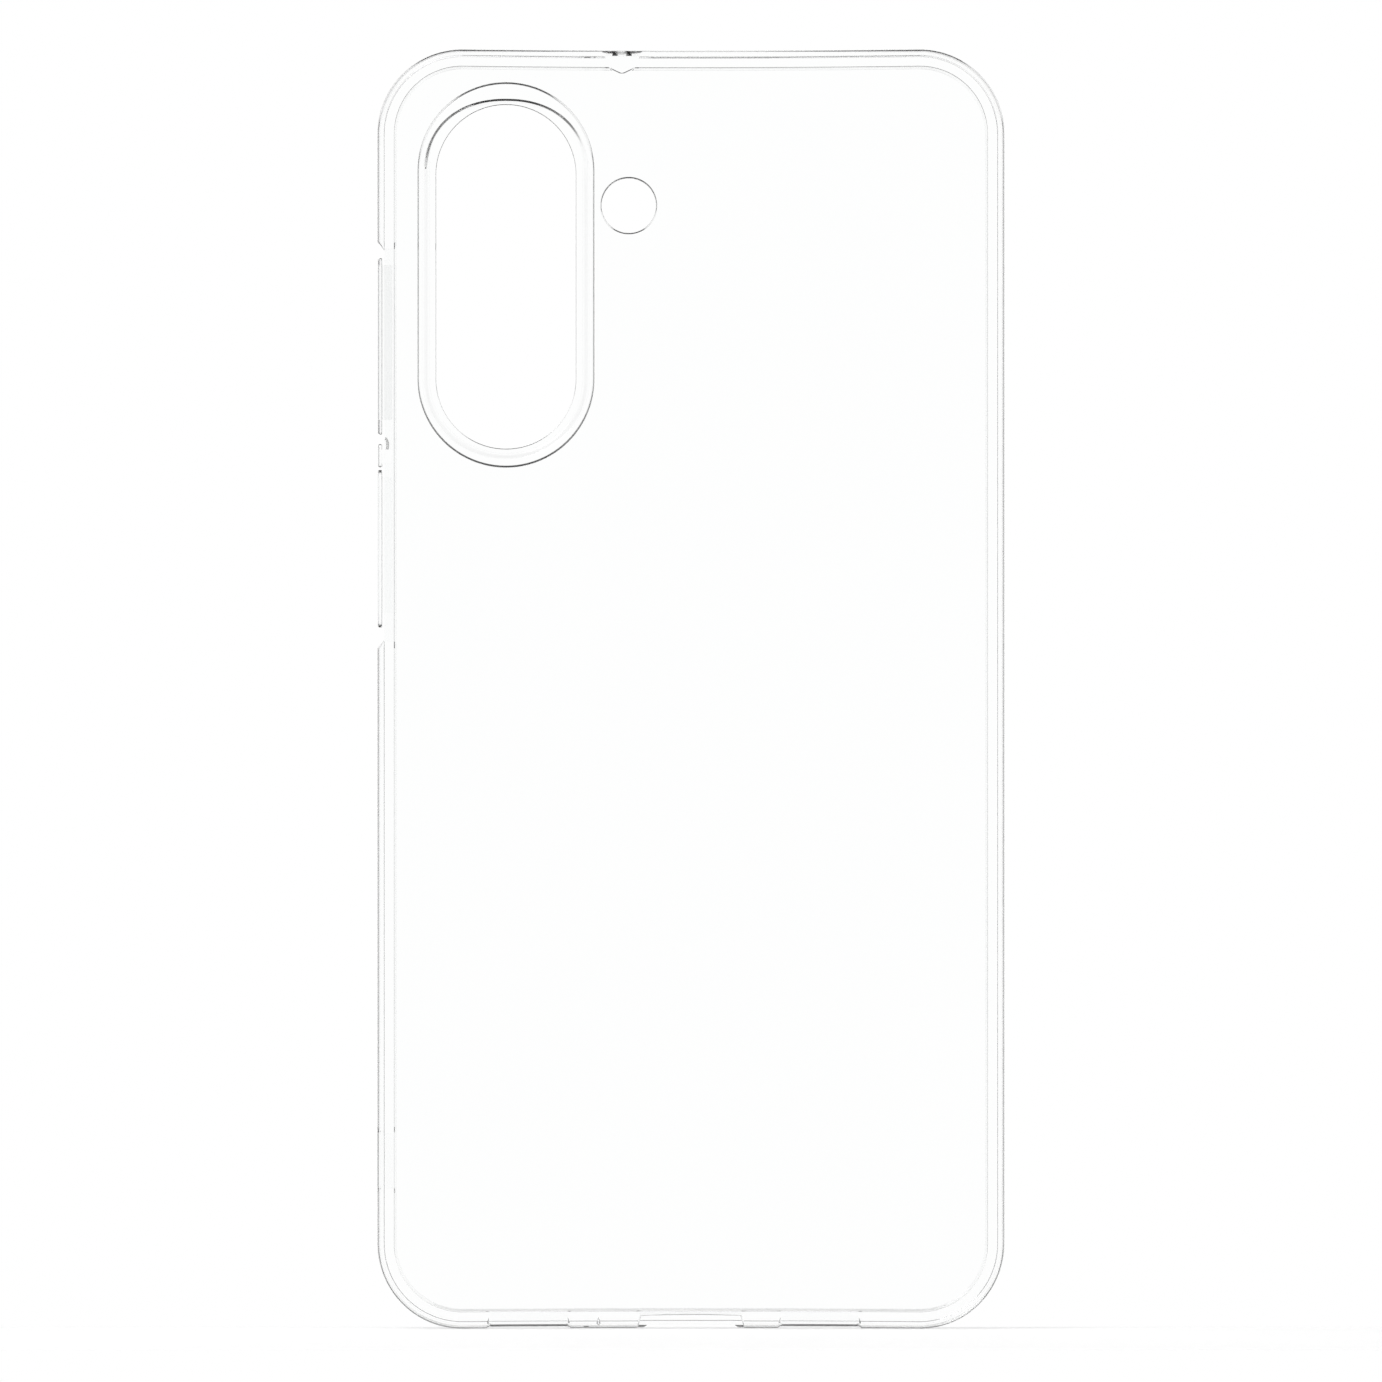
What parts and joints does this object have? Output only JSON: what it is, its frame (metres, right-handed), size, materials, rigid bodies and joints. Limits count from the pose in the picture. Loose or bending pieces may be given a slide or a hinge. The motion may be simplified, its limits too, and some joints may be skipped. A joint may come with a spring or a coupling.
{
  "type": "phone case",
  "caption": "Clear protective phone case: hard back panel with a raised camera guard, soft bumper frame with a front lip and port openings, and side key covers that press.",
  "frame": {"origin": "centre of the bounding box's bottom face; the case stands on its bottom edge, where the plug opening is", "axes": "+Z along the length towards the camera end; -Y out of the back, so the phone goes in from +Y; +X to the right as seen from behind, with the keys at -X"},
  "size_m": [0.0814, 0.011, 0.1661],
  "materials": {
    "hard_clear": "clear, polished, hard",
    "soft_clear": "clear, smooth, flexible",
    "key_clear": "clear, smooth, flexible"
  },
  "bodies": {
    "case_shell": {"back_panel": "hard_clear", "camera_guard": "hard_clear", "top_wall": "soft_clear", "right_wall": "soft_clear", "bottom_back_rail": "soft_clear", "bottom_front_lip": "soft_clear", "bottom_wall_left": "soft_clear", "bottom_wall_mic": "soft_clear", "bottom_wall_plug_side": "soft_clear", "bottom_wall_right": "soft_clear", "left_back_rail": "soft_clear", "left_front_lip": "soft_clear", "left_wall_upper": "soft_clear", "key_window_post": "soft_clear", "left_wall_middle": "soft_clear", "left_wall_lower": "soft_clear", "corner_top_left": "soft_clear", "corner_top_right": "soft_clear", "corner_bottom_left": "soft_clear", "corner_bottom_right": "soft_clear"},
    "volume_key": {"volume_key_cover": "key_clear"},
    "power_key": {"power_key_cover": "key_clear"}
  },
  "joints": [
    {"name": "volume_key_press", "type": "slide", "parent": "case_shell", "child": "volume_key", "axis": [1, 0, 0], "range_m": [0, 0.0004], "stiffness_N_per_m": 2500},
    {"name": "power_key_press", "type": "slide", "parent": "case_shell", "child": "power_key", "axis": [1, 0, 0], "range_m": [0, 0.0004], "stiffness_N_per_m": 2500}
  ]
}
